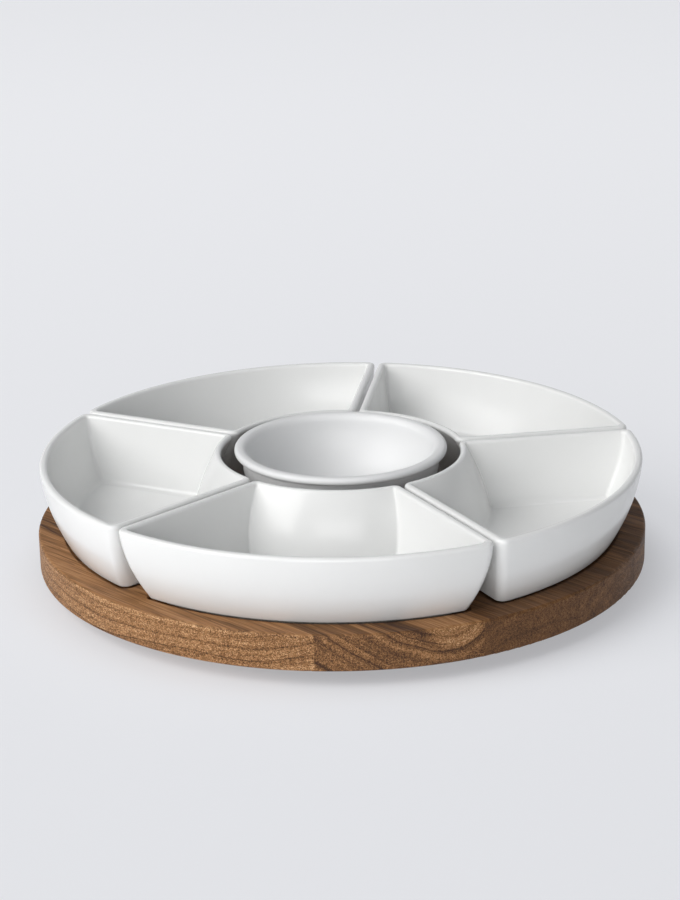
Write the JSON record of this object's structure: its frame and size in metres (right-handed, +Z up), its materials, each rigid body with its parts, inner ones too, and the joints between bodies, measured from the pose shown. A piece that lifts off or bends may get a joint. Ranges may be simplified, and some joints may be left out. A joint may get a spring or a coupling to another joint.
{
  "type": "chip and dip server",
  "caption": "Round wooden board that turns on a low ball ring, with lift-out white segment dishes set in shallow pockets round a lift-out dip bowl.",
  "frame": {"origin": "on the table under the centre of the board, level with the soles of the feet", "axes": "+Z up along the turning axis, -Y towards the front dish"},
  "size_m": [0.347, 0.347, 0.0727],
  "materials": {
    "wood": "oiled acacia, satin",
    "porcelain": "clear gloss glaze on warm white porcelain",
    "bowl_porcelain": "clear gloss glaze on cool white porcelain",
    "aluminium": "plain machined",
    "steel": "bright",
    "nylon": "natural nylon",
    "rubber": "matt black"
  },
  "bodies": {
    "base": {"base_ring": "aluminium", "rubber_foot_1": "rubber", "rubber_foot_2": "rubber", "rubber_foot_3": "rubber", "rubber_foot_4": "rubber", "rubber_foot_5": "rubber", "rubber_foot_6": "rubber"},
    "tray": {"board_stave_1": "wood", "board_stave_2": "wood", "board_stave_3": "wood", "board_stave_4": "wood", "board_stave_5": "wood", "board_stave_6": "wood", "top_ring": "aluminium", "ring_screws": "steel"},
    "ball_race": {"ball_cage": "nylon", "bearing_balls": "steel"},
    "front_dish": {"front_dish": "porcelain"},
    "right_dish": {"right_dish": "porcelain"},
    "rear_right_dish": {"rear_right_dish": "porcelain"},
    "rear_left_dish": {"rear_left_dish": "porcelain"},
    "left_dish": {"left_dish": "porcelain"},
    "dip_bowl": {"dip_bowl": "bowl_porcelain"}
  },
  "joints": [
    {"name": "tray_spin", "type": "hinge", "parent": "base", "child": "tray", "pos_m": [0, 0, 0.00525], "axis": [0, 0, 1], "continuous": true},
    {"name": "ball_race_spin", "type": "hinge", "parent": "base", "child": "ball_race", "pos_m": [0, 0, 0.00525], "axis": [0, 0, 1], "continuous": true},
    {"name": "front_dish_lift", "type": "slide", "parent": "tray", "child": "front_dish", "axis": [0, 0, 1], "range_m": [0, 0.1]},
    {"name": "right_dish_lift", "type": "slide", "parent": "tray", "child": "right_dish", "axis": [0, 0, 1], "range_m": [0, 0.1]},
    {"name": "rear_right_dish_lift", "type": "slide", "parent": "tray", "child": "rear_right_dish", "axis": [0, 0, 1], "range_m": [0, 0.1]},
    {"name": "rear_left_dish_lift", "type": "slide", "parent": "tray", "child": "rear_left_dish", "axis": [0, 0, 1], "range_m": [0, 0.1]},
    {"name": "left_dish_lift", "type": "slide", "parent": "tray", "child": "left_dish", "axis": [0, 0, 1], "range_m": [0, 0.1]},
    {"name": "dip_bowl_lift", "type": "slide", "parent": "tray", "child": "dip_bowl", "axis": [0, 0, 1], "range_m": [0, 0.1]}
  ],
  "couplings": [
    {"joint": "ball_race_spin", "follows": "tray_spin", "ratio": 0.5}
  ]
}
